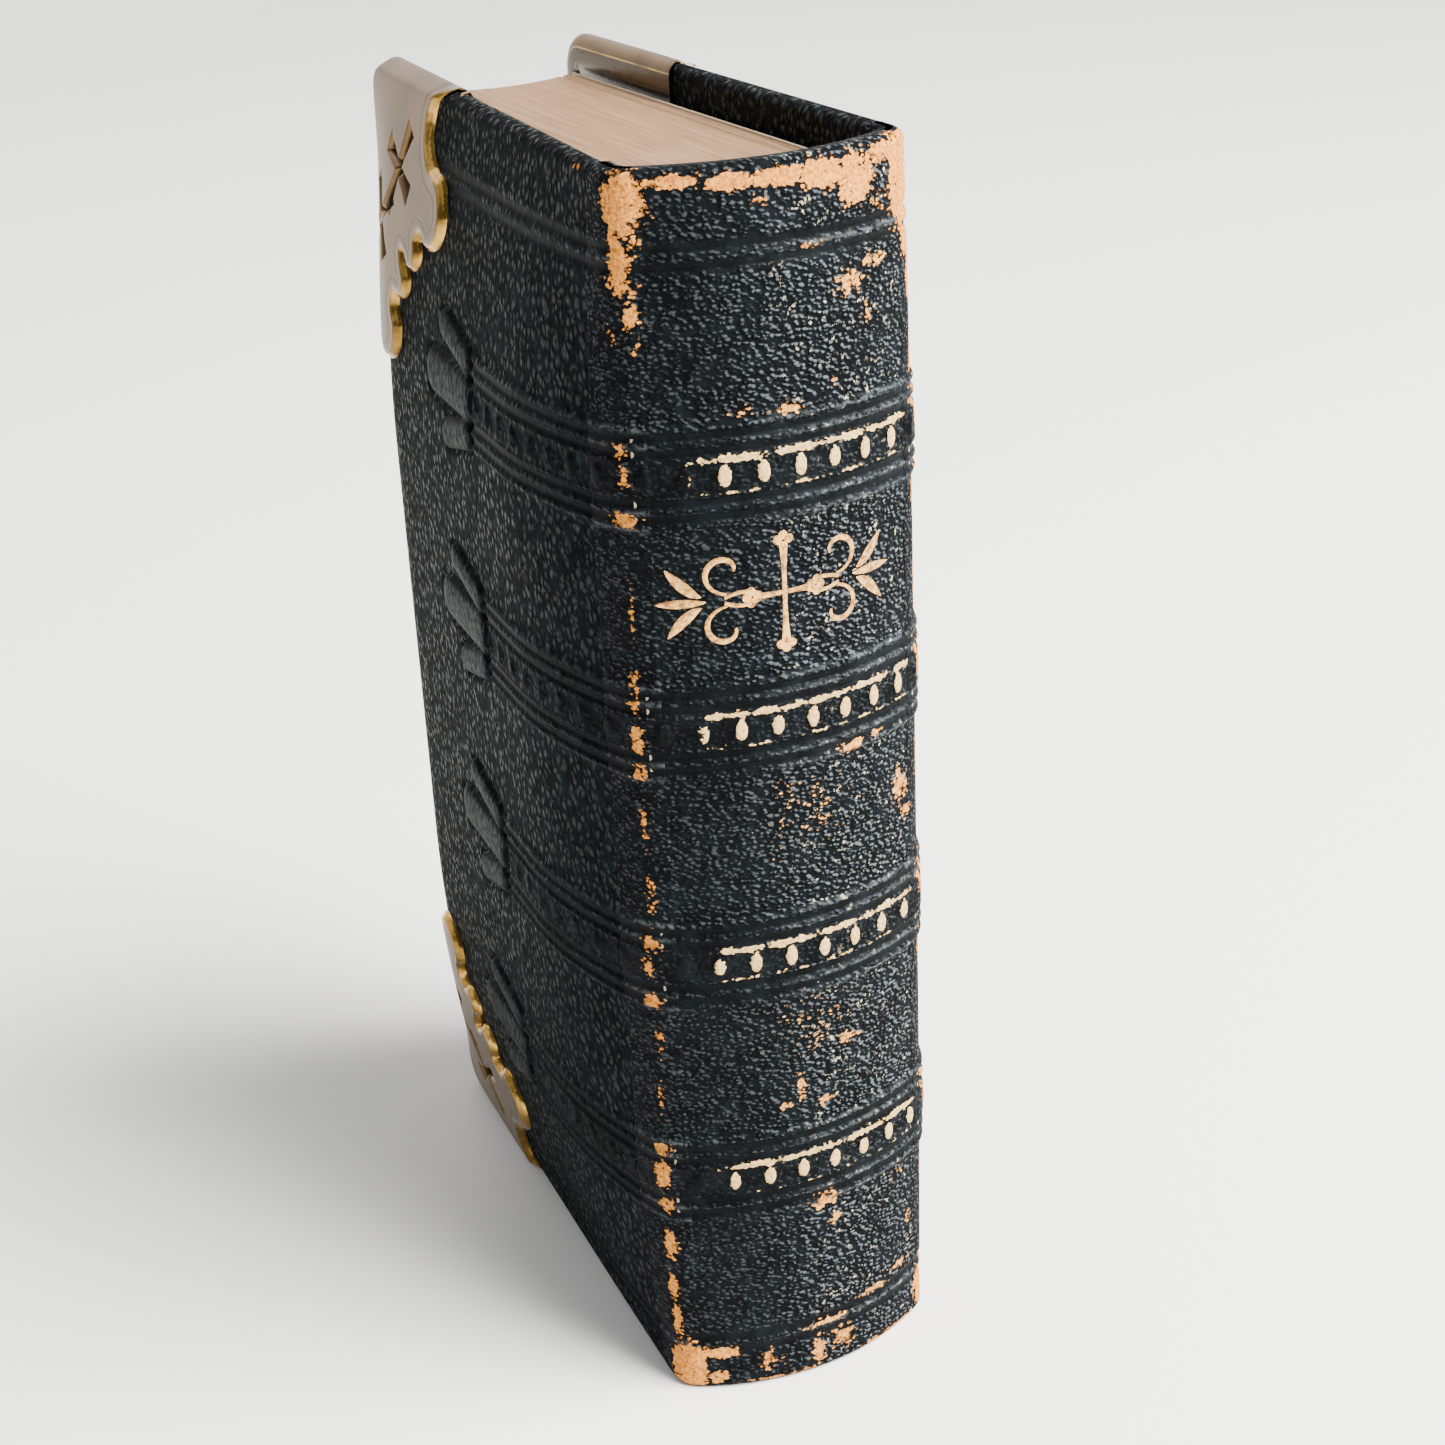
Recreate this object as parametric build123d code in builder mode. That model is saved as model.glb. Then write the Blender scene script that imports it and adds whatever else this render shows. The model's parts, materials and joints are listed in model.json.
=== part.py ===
from build123d import *
import os
from math import asin, cos, degrees, radians, sin, sqrt

# A small clasp-less prayer book: padded leather covers, rounded spine with four false
# bands, brass corners. It stands on its tail: +Z up, spine toward -Y, front cover +X.

# ---- driving dimensions, mm ----
HEIGHT = 120.0  # covers, head to tail
COVER_WIDTH = 65.0  # joint to fore-edge, along the cover
JOINT_SPACING = 28.0  # outside of one joint to the other
LEAN = {1: 1.3, -1: 3.4}  # the front and rear covers lean in toward the fore-edge, degrees
SPINE_BULGE = 4.3  # how far the rounded spine stands behind the joints

LEATHER = 0.5
BOARD = 1.0
EDGE = BOARD + 2 * LEATHER  # thickness of a cover at its edges
COVER_START = 1.0  # the bare joint between the spine and a cover
CORNER_RADIUS = 3.5
TURN_IN = 10.0  # leather folded over onto the inside of the board
PASTEDOWN = 0.2
PASTEDOWN_MARGIN = 4.5

PAD_RISE = 4.6  # swell of the padded face above the cover's edges
JOINT_SLOPE = 20.0  # width over which the pad rises from the joint
FORE_SLOPE = 12.0
END_SLOPE = 38.0
PAD_SHARES = (0.0, 0.25, 0.5, 0.75, 0.92, 1.0)  # heights of the pad's profiles

BRASS = 0.4
BRASS_LIP = 5.0  # depth of the brass turned over inside the cover
CORNER_REACH = 27.0  # from the cover's corner along each edge
CROSS_AT = (14.0, 8.0)  # pierced cross, from the fore-edge and from the end
CROSS_SPAN = 8.0
CROSS_FLARE = 1.5  # width of an arm at its end
CROSS_ARM_ANGLE = 97  # of an arm's sides at its end

SQUARE = 3.4  # the covers stand past the pages by this much
LEAF_WIDTH = 61.5
SECTIONS = 12
SECTION_GAP = 0.4  # beside the first and last sections, which turn
FLYLEAF = 0.3
FLYLEAF_START = 2.0
LEAF_CLEARANCE = 0.4  # between pages and covers

HOLLOW = 0.4
MULL = 0.3
BAND_RISE = 0.5
BAND_HEIGHT = 8.1
BANDS = [24.6 + 23.26 * i for i in range(4)]  # band centres above the tail
CORD = 0.8
CORDS = [30.0, 50.0, 70.0, 90.0]
KETTLE = 0.4
KETTLES = [14.0, 106.0]
CAP_DEPTH = 2.4  # leather turned inward over each endband
CAP = 0.6
ENDBAND_HEIGHT = SQUARE - CAP

# ---- worked out from them ----
SPINE_R = (JOINT_SPACING**2 / 4 + SPINE_BULGE**2) / (2 * SPINE_BULGE)
HALF_ARC = degrees(asin(JOINT_SPACING / 2 / SPINE_R))
BACK_Y = SPINE_BULGE + BAND_RISE
FRONT_Y = COVER_WIDTH * cos(radians(LEAN[1]))
JOINT_Y = (BACK_Y - FRONT_Y) / 2  # puts the origin under the middle of the book
SPINE_AXIS_Y = JOINT_Y + SPINE_R - SPINE_BULGE
MULL_R = SPINE_R - LEATHER - HOLLOW
BACKS_R = MULL_R - MULL - 0.05
FLYLEAF_W = EDGE + BRASS + LEAF_CLEARANCE
BLOCK_W = FLYLEAF_W + FLYLEAF + LEAF_CLEARANCE
BLOCK_HALF_BACK = JOINT_SPACING / 2 - BLOCK_W / cos(radians(LEAN[-1]))
BLOCK_FORE = {side: BLOCK_HALF_BACK - LEAF_WIDTH * sin(radians(LEAN[side])) - 0.2 for side in LEAN}
MULL_ARC = degrees(asin(BLOCK_HALF_BACK / MULL_R)) - 1.0
CORD_ARC = MULL_ARC * (1 - 2 / SECTIONS) - 2.0

os.makedirs("parts", exist_ok=True)


def save(part, name):
    part.label = name
    export_step(part, f"parts/{name}.step")


def cover_plane(side, w=0.0):
    """Lies on a cover's edge level: x toward the fore-edge, z outward, origin at mid-height.
    side is 1 for the front cover and -1 for the rear one."""
    lean = radians(LEAN[side])
    toward_fore = Vector(-side * sin(lean), cos(lean), 0)
    outward = Vector(side * cos(lean), sin(lean), 0)
    origin = Vector(side * JOINT_SPACING / 2, JOINT_Y, HEIGHT / 2)
    return Plane(origin=origin, x_dir=toward_fore, z_dir=outward).offset(w)


def panel(inset, slope=0.0):
    """A cover outline, square at the joint and rounded at the fore-edge. slope runs from
    0 at the foot of the pad to 1 at its flat top."""
    start = COVER_START + inset + JOINT_SLOPE * slope
    end = COVER_WIDTH - inset - FORE_SLOPE * slope
    half = HEIGHT / 2 - inset - END_SLOPE * slope
    with BuildSketch() as outline:
        with Locations(((start + end) / 2, 0)):
            Rectangle(end - start, 2 * half)
        corners = outline.vertices().sort_by(Axis.X)[-2:]
        fillet(corners, CORNER_RADIUS + 4 * slope)
    return outline.sketch


def slab(side, low, high, inset):
    with BuildPart() as body:
        with BuildSketch(cover_plane(side, low)):
            add(panel(inset))
        extrude(amount=high - low)
    return body.part


def dome(side, low, inset):
    """The padded face: a stack of outlines that shrink as a parabola rises."""
    with BuildPart() as body:
        for share in PAD_SHARES:
            with BuildSketch(cover_plane(side, low + PAD_RISE * share)):
                add(panel(inset, 1 - sqrt(1 - share)))
        loft(ruled=True)
    return body.part


def spine_strip(outer, thickness, half_arc, low, high):
    """A strip bent round the spine's axis, thickness inward from the outer radius."""
    inner = outer - thickness
    ends = [radians(-90 - half_arc), radians(-90 + half_arc)]
    centre = (0, SPINE_AXIS_Y)
    with BuildPart() as strip:
        with BuildSketch(Plane.XY.offset(low)):
            with BuildLine():
                CenterArc(centre, outer, -90 - half_arc, 2 * half_arc)
                CenterArc(centre, inner, -90 - half_arc, 2 * half_arc)
                for turn in ends:
                    foot = Vector(inner * cos(turn), SPINE_AXIS_Y + inner * sin(turn))
                    top = Vector(outer * cos(turn), SPINE_AXIS_Y + outer * sin(turn))
                    Line(foot, top)
            make_face()
        extrude(amount=high - low)
    return strip.part


# ---- brass corners ----


def corner_outline(side, end):
    """Scalloped edge of a corner plate, the same on both sides of its diagonal. Points are
    (distance from the fore-edge, distance from the head or tail)."""
    reach = CORNER_REACH
    edge = [
        ((reach, 0.0), (reach - 5.5, 4.0), (reach - 1.5, 7.3)),
        ((reach - 1.5, 7.3), (reach + 1.0, 10.8), (reach - 4.0, 14.2)),
        ((reach - 4.0, 14.2), (reach - 5.2, 13.6), (reach - 6.5, 14.2)),
        ((reach - 6.5, 14.2), (reach - 6.6, 16.3), (reach - 8.8, 17.2)),
        ((reach - 8.8, 17.2), (reach - 10.3, 16.2), (reach - 11.0, reach - 11.0)),
    ]
    flip = side * end

    def at(point):
        return (COVER_WIDTH - point[0], flip * (HEIGHT / 2 - point[1]))

    with BuildSketch() as outline:
        with BuildLine():
            for arc in edge:
                ThreePointArc(*[at(p) for p in arc])
                ThreePointArc(*[at((p[1], p[0])) for p in arc])
            Polyline(at((reach, 0)), at((reach, -1)), at((-1, -1)), at((-1, reach)), at((0, reach)))
        make_face()
        for across, along in (CROSS_AT, CROSS_AT[::-1]):
            with Locations(at((across, along))):
                for turn in range(4):
                    with Locations(Rotation(0, 0, 45 + 90 * turn)):
                        with Locations((CROSS_SPAN / 4, 0)):
                            Trapezoid(
                                CROSS_FLARE,
                                CROSS_SPAN / 2,
                                CROSS_ARM_ANGLE,
                                rotation=90,
                                mode=Mode.SUBTRACT,
                            )
    return outline.sketch


def brass_corner(side, end):
    with BuildPart() as corner:
        add(slab(side, -EDGE - BRASS, BRASS, 0))
        add(dome(side, BRASS, 0))
        add(slab(side, -EDGE, 0, BRASS), mode=Mode.SUBTRACT)
        add(dome(side, 0, BRASS), mode=Mode.SUBTRACT)
        add(slab(side, -EDGE - BRASS, -EDGE, BRASS_LIP), mode=Mode.SUBTRACT)
        with BuildSketch(cover_plane(side, -EDGE - 2 * BRASS)):
            add(corner_outline(side, end))
        extrude(amount=EDGE + PAD_RISE + 4 * BRASS, mode=Mode.INTERSECT)
    return corner.part


# ---- covers ----

for cover, side in (("front", 1), ("rear", -1)):
    board = slab(side, -EDGE + LEATHER, -LEATHER, LEATHER)
    padding = dome(side, -LEATHER, LEATHER)
    infill = slab(side, -EDGE, -EDGE + LEATHER, TURN_IN)
    pastedown = slab(side, -EDGE - PASTEDOWN, -EDGE, PASTEDOWN_MARGIN)
    corners = {"head": brass_corner(side, 1), "tail": brass_corner(side, -1)}
    with BuildPart() as leather:
        add(slab(side, -EDGE, 0, 0))
        add(dome(side, 0, 0))
        for inner in (board, padding, infill, *corners.values()):
            add(inner, mode=Mode.SUBTRACT)
    with BuildPart() as endpaper:
        add(pastedown)
        for brass in corners.values():
            add(brass, mode=Mode.SUBTRACT)
    save(board, f"{cover}_board")
    save(padding, f"{cover}_padding")
    save(infill, f"{cover}_infill_card")
    save(endpaper.part, f"{cover}_pastedown")
    save(leather.part, f"{cover}_leather")
    for end, brass in corners.items():
        save(brass, f"{cover}_{end}_corner")

    with BuildPart() as flyleaf:
        with BuildSketch(cover_plane(side, -FLYLEAF_W - FLYLEAF)):
            with Locations(((FLYLEAF_START + LEAF_WIDTH) / 2, 0)):
                Rectangle(LEAF_WIDTH - FLYLEAF_START, HEIGHT - 2 * SQUARE)
        extrude(amount=FLYLEAF)
    save(flyleaf.part, f"{cover}_flyleaf")


# ---- text block: folded sections fanned from the swollen back to the fore-edge ----


def section_line(share, shift=0.0):
    """Back and fore ends of the plane between two sections, share 0 to 1 from the rear."""
    back_x = BLOCK_HALF_BACK * (2 * share - 1) + shift
    fore_x = BLOCK_FORE[1] * share - BLOCK_FORE[-1] * (1 - share) + shift
    back_y = SPINE_AXIS_Y - sqrt(BACKS_R**2 - back_x**2)
    return (back_x, back_y), (fore_x, back_y + LEAF_WIDTH)


cords = [spine_strip(BACKS_R + 0.04, CORD, CORD_ARC, z, z + CORD) for z in CORDS]
kettles = [spine_strip(BACKS_R + 0.04, KETTLE, CORD_ARC, z, z + KETTLE) for z in KETTLES]

for number in range(SECTIONS):
    first, last = number == 0, number == SECTIONS - 1
    low_shift = SECTION_GAP if last else 0.0
    high_shift = -SECTION_GAP if first else 0.0
    back_low, fore_low = section_line(number / SECTIONS, low_shift)
    back_high, fore_high = section_line((number + 1) / SECTIONS, high_shift)
    with BuildPart() as section:
        with BuildSketch(Plane.XY.offset(SQUARE)):
            with BuildLine():
                Polyline(back_low, fore_low, fore_high, back_high, close=True)
            make_face()
        extrude(amount=HEIGHT - 2 * SQUARE)
        for thread in cords + kettles:
            add(thread, mode=Mode.SUBTRACT)
    if last:
        name = "front_section"
    elif first:
        name = "rear_section"
    else:
        name = f"text_section_{number}"
    save(section.part, name)

save(Compound(children=cords), "sewing_cords")
save(Compound(children=kettles), "kettle_stitches")

# ---- spine ----

save(spine_strip(MULL_R, MULL, MULL_ARC, SQUARE + 4, HEIGHT - SQUARE - 4), "mull_lining")
hollow = spine_strip(SPINE_R - LEATHER, HOLLOW, MULL_ARC, SQUARE, HEIGHT - SQUARE)
save(hollow, "paper_hollow")

for end, low in (("head", HEIGHT - SQUARE), ("tail", CAP)):
    band = spine_strip(MULL_R, CAP_DEPTH - LEATHER - HOLLOW, MULL_ARC, low, low + ENDBAND_HEIGHT)
    save(band, f"{end}_endband")

for number, centre in enumerate(BANDS, 1):
    low = centre - BAND_HEIGHT / 2 + LEATHER
    high = centre + BAND_HEIGHT / 2 - LEATHER
    outer = SPINE_R - LEATHER + BAND_RISE
    save(spine_strip(outer, BAND_RISE, HALF_ARC - 2, low, high), f"false_band_{number}")

with BuildPart() as spine_leather:
    add(spine_strip(SPINE_R, LEATHER, HALF_ARC, 0, HEIGHT))
    for low in (0, HEIGHT - CAP):
        add(spine_strip(SPINE_R, CAP_DEPTH, MULL_ARC, low, low + CAP))
    for centre in BANDS:
        low = centre - BAND_HEIGHT / 2
        high = centre + BAND_HEIGHT / 2
        add(spine_strip(SPINE_R + BAND_RISE, BAND_RISE + LEATHER, HALF_ARC - 0.5, low, high))
        pocket = spine_strip(
            SPINE_R - LEATHER + BAND_RISE, BAND_RISE, HALF_ARC - 2, low + LEATHER, high - LEATHER
        )
        add(pocket, mode=Mode.SUBTRACT)
save(spine_leather.part, "spine_leather")
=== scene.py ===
import json
import math

import bpy
import numpy as np
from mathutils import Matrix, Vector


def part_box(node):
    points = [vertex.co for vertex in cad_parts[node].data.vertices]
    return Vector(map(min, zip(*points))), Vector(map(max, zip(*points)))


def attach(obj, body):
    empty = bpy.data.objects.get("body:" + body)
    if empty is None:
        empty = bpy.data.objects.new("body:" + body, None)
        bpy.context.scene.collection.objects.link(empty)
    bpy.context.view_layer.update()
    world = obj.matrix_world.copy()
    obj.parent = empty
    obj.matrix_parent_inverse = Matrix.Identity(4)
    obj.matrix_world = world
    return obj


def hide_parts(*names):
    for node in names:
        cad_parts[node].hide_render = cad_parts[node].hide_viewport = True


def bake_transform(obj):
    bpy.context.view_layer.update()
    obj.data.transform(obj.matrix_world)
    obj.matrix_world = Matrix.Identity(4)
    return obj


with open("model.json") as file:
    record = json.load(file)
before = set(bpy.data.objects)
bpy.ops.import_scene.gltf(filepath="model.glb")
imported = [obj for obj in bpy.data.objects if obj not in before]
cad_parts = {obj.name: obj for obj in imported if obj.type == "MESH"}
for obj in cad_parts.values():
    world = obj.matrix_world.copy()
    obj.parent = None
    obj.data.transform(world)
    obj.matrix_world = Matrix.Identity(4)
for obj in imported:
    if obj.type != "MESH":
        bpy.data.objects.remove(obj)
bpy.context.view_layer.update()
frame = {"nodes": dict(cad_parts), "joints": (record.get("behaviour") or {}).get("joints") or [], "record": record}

# Lengths below are millimetres, turned into metres as each mesh is made.
MM = 0.001


# ---- the frame: joints, rests and node boxes give every place ----


def node_box(node):
    low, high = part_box(node)
    return np.array(low) / MM, np.array(high) / MM


def joint(name):
    return next(j for j in frame["joints"] if j["name"] == name)


def mount(name):
    return next(m for m in frame["record"]["mounts"] if m["name"] == name)


HINGE = np.array(joint("front_cover_hinge")["pos_m"]) / MM
JOINT_X, JOINT_Y = HINGE[0], HINGE[1]
COVER_OUT = {s: np.array(mount(f"{n}_cover_rest")["axis"]) for s, n in ((1, "front"), (-1, "rear"))}
LEAN = {side: math.asin(out[1]) for side, out in COVER_OUT.items()}
HEIGHT = node_box("front_leather")[1][2]
COVER_WIDTH = (node_box("front_leather")[1][1] - JOINT_Y) / math.cos(LEAN[1])
CENTRE_REST = np.array(mount("front_cover_rest")["pos_m"]) / MM
PAD_RISE = float((CENTRE_REST - HINGE) @ COVER_OUT[1])
BAND_CENTRES = [sum(node_box(f"false_band_{i}"))[2] / 2 for i in range(1, 5)]
BULGE = JOINT_Y - node_box("paper_hollow")[0][1] + 0.5  # leather covers the hollow
SPINE_R = (JOINT_X**2 + BULGE**2) / (2 * BULGE)
SPINE_Y = JOINT_Y + SPINE_R - BULGE
HALF_ARC = math.asin(JOINT_X / SPINE_R)
PAGE_TOP = node_box("text_section_5")[1][2]

EDGE = 2.0  # thickness of a cover at its edges
CORNER_R = 3.5
SLOPES = {"joint": 20.0, "fore": 12.0, "end": 38.0}  # where the pad rises
STRIP_SPINE = 2.2  # the joint leather: from here on the spine
STRIP_COVER = 3.6  # to here on the cover


# ---- small numeric helpers ----


def step(x, low, high):
    t = np.clip((x - low) / (high - low), 0, 1)
    return t * t * (3 - 2 * t)


def bump(x, centre, half, power=2):
    return np.exp(-np.abs((x - centre) / half) ** power)


def rise(t):
    return 1 - (1 - np.clip(t, 0, 1)) ** 2


def spread(stops):
    """Grid values from (start, end, spacing) stretches, each value once."""
    values = [
        np.linspace(a, b, max(2, int(round((b - a) / gap)) + 1)) for a, b, gap in stops
    ]
    return np.unique(np.round(np.concatenate(values), 4))


# ---- meshes ----


def grid_faces(rows, cols, first=0):
    index = np.arange(rows * cols).reshape(rows, cols) + first
    quads = [index[:-1, :-1], index[:-1, 1:], index[1:, 1:], index[1:, :-1]]
    return np.stack(quads, -1).reshape(-1, 4)


def make_piece(name, points, faces, material, fields=None, outward=None):
    """A smooth mesh from millimetre points. fields are per-point numbers for its
    material. outward is a direction that the middle face has to look along."""
    mesh = bpy.data.meshes.new(name)
    points = np.asarray(points, float).reshape(-1, 3)
    faces = [tuple(int(i) for i in f) for f in faces]
    if outward is not None:
        a, b, c = (points[i] for i in faces[len(faces) // 2][:3])
        if np.cross(b - a, c - b) @ np.asarray(outward) < 0:
            faces = [f[::-1] for f in faces]
    mesh.from_pydata((points * MM).tolist(), [], faces)
    for field, values in (fields or {}).items():
        layer = mesh.attributes.new(field, "FLOAT", "POINT")
        layer.data.foreach_set("value", np.asarray(values, np.float32).ravel())
    mesh.polygons.foreach_set("use_smooth", [True] * len(mesh.polygons))
    mesh.materials.append(material)
    piece = bpy.data.objects.new(name, mesh)
    bpy.context.scene.collection.objects.link(piece)
    return piece


# ---- materials ----


class Nodes:
    """Short names for building one material's nodes."""

    def __init__(self, name):
        self.material = bpy.data.materials.new(name)
        self.material.use_nodes = True
        self.tree = self.material.node_tree
        self.shader = self.tree.nodes["Principled BSDF"]
        self.place = self.add("ShaderNodeTexCoord").outputs["Object"]

    def add(self, kind, **settings):
        node = self.tree.nodes.new(kind)
        for key, value in settings.items():
            setattr(node, key, value)
        return node

    def put(self, socket, value):
        if isinstance(value, bpy.types.NodeSocket):
            self.tree.links.new(value, socket)
        else:
            socket.default_value = value

    def math(self, operation, a, b=0.0, clamp=False):
        node = self.add("ShaderNodeMath", operation=operation, use_clamp=clamp)
        self.put(node.inputs[0], a)
        self.put(node.inputs[1], b)
        return node.outputs[0]

    def field(self, name):
        return self.add("ShaderNodeAttribute", attribute_name=name).outputs["Fac"]

    def stretch(self, scale, turn=(0, 0, 0)):
        node = self.add("ShaderNodeMapping")
        self.put(node.inputs["Vector"], self.place)
        node.inputs["Scale"].default_value = scale
        node.inputs["Rotation"].default_value = turn
        return node.outputs[0]

    def noise(self, scale, detail=4.0, rough=0.55, where=None, distortion=0.0):
        node = self.add("ShaderNodeTexNoise")
        self.put(node.inputs["Vector"], where or self.place)
        node.inputs["Scale"].default_value = scale
        node.inputs["Detail"].default_value = detail
        node.inputs["Roughness"].default_value = rough
        node.inputs["Distortion"].default_value = distortion
        return node.outputs["Fac"]

    def cells(self, scale, where=None, feature="F1", smoothness=0.0):
        node = self.add("ShaderNodeTexVoronoi", feature=feature)
        self.put(node.inputs["Vector"], where or self.place)
        node.inputs["Scale"].default_value = scale
        if feature == "SMOOTH_F1":
            node.inputs["Smoothness"].default_value = smoothness
        return node.outputs["Distance"]

    def between(self, value, low, high, out_low=0.0, out_high=1.0):
        node = self.add("ShaderNodeMapRange", interpolation_type="SMOOTHSTEP")
        self.put(node.inputs["Value"], value)
        node.inputs["From Min"].default_value = low
        node.inputs["From Max"].default_value = high
        node.inputs["To Min"].default_value = out_low
        node.inputs["To Max"].default_value = out_high
        return node.outputs[0]

    def blend(self, share, a, b):
        node = self.add("ShaderNodeMix", data_type="RGBA")
        self.put(node.inputs["Factor"], share)
        for socket, value in ((node.inputs[6], a), (node.inputs[7], b)):
            self.put(socket, (*value, 1.0) if isinstance(value, tuple) else value)
        return node.outputs[2]

    def relief(self, height, depth, normal=None):
        node = self.add("ShaderNodeBump")
        node.inputs["Distance"].default_value = depth * MM
        self.put(node.inputs["Height"], height)
        if normal is not None:
            self.put(node.inputs["Normal"], normal)
        return node.outputs[0]

    def finish(self, colour, roughness, normal=None, **sockets):
        self.put(self.shader.inputs["Base Color"], colour)
        self.put(self.shader.inputs["Roughness"], roughness)
        if normal is not None:
            self.put(self.shader.inputs["Normal"], normal)
        for name, value in sockets.items():
            self.shader.inputs[name.replace("_", " ")].default_value = value
        return self.material


def morocco_material(name, pebble, stretch, lit_side, sheen, gloss):
    """Pebbled blue-black leather; pebble is the size of one grain in millimetres,
    lit_side the shoulder of each pebble that gets a painted highlight, and sheen the grey
    of that painted highlight; the creases are painted darker as painted shade. Its points
    carry grain (0 where tooling pressed it flat), wear (0 sound, 1 bare), pale (how far
    bare leather has gone to cream), rub (how strong the painted highlight along a tooled
    crest is) and handled (how strong the painted highlights on the pebbles' shoulders and
    the pale worn specks are)."""
    n = Nodes(name)
    wander = n.add("ShaderNodeVectorMath", operation="MULTIPLY_ADD")
    drift = n.add("ShaderNodeTexNoise")
    n.put(drift.inputs["Vector"], n.place)
    drift.inputs["Scale"].default_value = 0.45 / (pebble * MM)
    n.put(wander.inputs[0], drift.outputs["Color"])
    wander.inputs[1].default_value = (1.1 * pebble * MM,) * 3
    n.put(wander.inputs[2], n.stretch(stretch, (0.16, 0, 0)))
    pebbles = n.cells(1 / (pebble * MM), wander.outputs[0], "SMOOTH_F1", 0.25)
    pebble_top = n.between(pebbles, 0.1, 0.68, 1.0, 0.0)
    fine = n.noise(5200.0, 3.0)
    creases = n.noise(260.0, 3.0, 0.6, distortion=1.2)
    grain = n.field("grain")
    wear_noise = n.noise(1000.0, 7.0, 0.74)
    wear = n.math("ADD", n.field("wear"), n.math("MULTIPLY", wear_noise, 1.3))
    rubbed = n.math("MULTIPLY", n.math("SUBTRACT", pebble_top, 0.5), 0.3)
    bare = n.between(n.math("ADD", wear, rubbed), 1.1, 1.17)

    # painted shade: the leather is painted darker where the crease noise sinks the surface
    shade = n.blend(n.between(creases, 0.35, 0.75), (0.0012, 0.0017, 0.0021), (0.004, 0.0056, 0.007))
    # painted highlight: the sheen grey painted on each pebble's shoulder toward lit_side, broken up by noise
    patchy = n.noise(900.0, 5.0, 0.75)
    aside = n.add("ShaderNodeVectorMath", operation="ADD")
    n.put(aside.inputs[0], wander.outputs[0])
    aside.inputs[1].default_value = [0.42 * pebble * MM * part for part in lit_side]
    beside = n.cells(1 / (pebble * MM), aside.outputs[0], "SMOOTH_F1", 0.25)
    shoulder = n.math("SUBTRACT", beside, pebbles)
    glint = n.math("ADD", shoulder, n.math("MULTIPLY", n.math("SUBTRACT", patchy, 0.5), 0.85))
    glint = n.math("MULTIPLY", n.between(glint, 0.06, 0.36), n.math("MULTIPLY", grain, n.field("glint_and_speck_share")))
    # painted highlight along the tooled crests, in the same sheen grey
    crest = n.math("MULTIPLY", n.field("rub_and_painted_highlight"), n.between(n.noise(1500.0, 4.0, 0.7), 0.4, 0.62))
    light = n.math("MAXIMUM", glint, crest)
    tint = n.blend(light, shade, sheen)
    fuzz = n.noise(3200.0, 5.0, 0.7)
    tan = n.blend(n.between(fuzz, 0.3, 0.7), (0.30, 0.085, 0.012), (0.78, 0.33, 0.06))
    cream = n.blend(n.between(fuzz, 0.3, 0.7), (0.40, 0.225, 0.07), (0.78, 0.55, 0.25))
    paler = n.math("ADD", n.field("pale"), n.math("MULTIPLY", wear_noise, 0.5))
    hide = n.blend(n.between(paler, 0.5, 0.9), tan, cream)
    specks = n.between(n.noise(1500.0, 3.0, 0.6), 0.65, 0.68)
    specks = n.math("MULTIPLY", specks, n.between(n.field("glint_and_speck_share"), 0.65, 1.0))
    tint = n.blend(n.math("MULTIPLY", specks, grain), tint, (0.42, 0.36, 0.24))
    colour = n.blend(bare, tint, hide)

    top_rough = n.between(pebble_top, 0.2, 1.0, 0.75, 0.36)
    polish = n.math("ADD", n.math("MULTIPLY", top_rough, grain), n.between(grain, 0.0, 1.0, 0.48, 0.0))
    roughness = n.math("MAXIMUM", polish, n.math("MULTIPLY", bare, 0.92))

    height = n.math("ADD", n.math("MULTIPLY", pebble_top, 0.9), n.math("MULTIPLY", creases, 0.5))
    height = n.math("MULTIPLY", height, n.math("ADD", n.math("MULTIPLY", grain, 0.92), 0.08))
    height = n.math("ADD", height, n.math("MULTIPLY", fine, 0.05))
    suede = n.math("ADD", n.math("MULTIPLY", fuzz, 0.7), n.math("MULTIPLY", n.noise(1100.0, 3.0), 0.4))
    surface = n.add("ShaderNodeMix", data_type="FLOAT")
    n.put(surface.inputs[0], bare)
    n.put(surface.inputs[2], height)
    n.put(surface.inputs[3], n.math("SUBTRACT", suede, 0.7))
    normal = n.relief(surface.outputs[0], 0.34 * pebble)
    return n.finish(colour, roughness, normal, Specular_IOR_Level=gloss)


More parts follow.
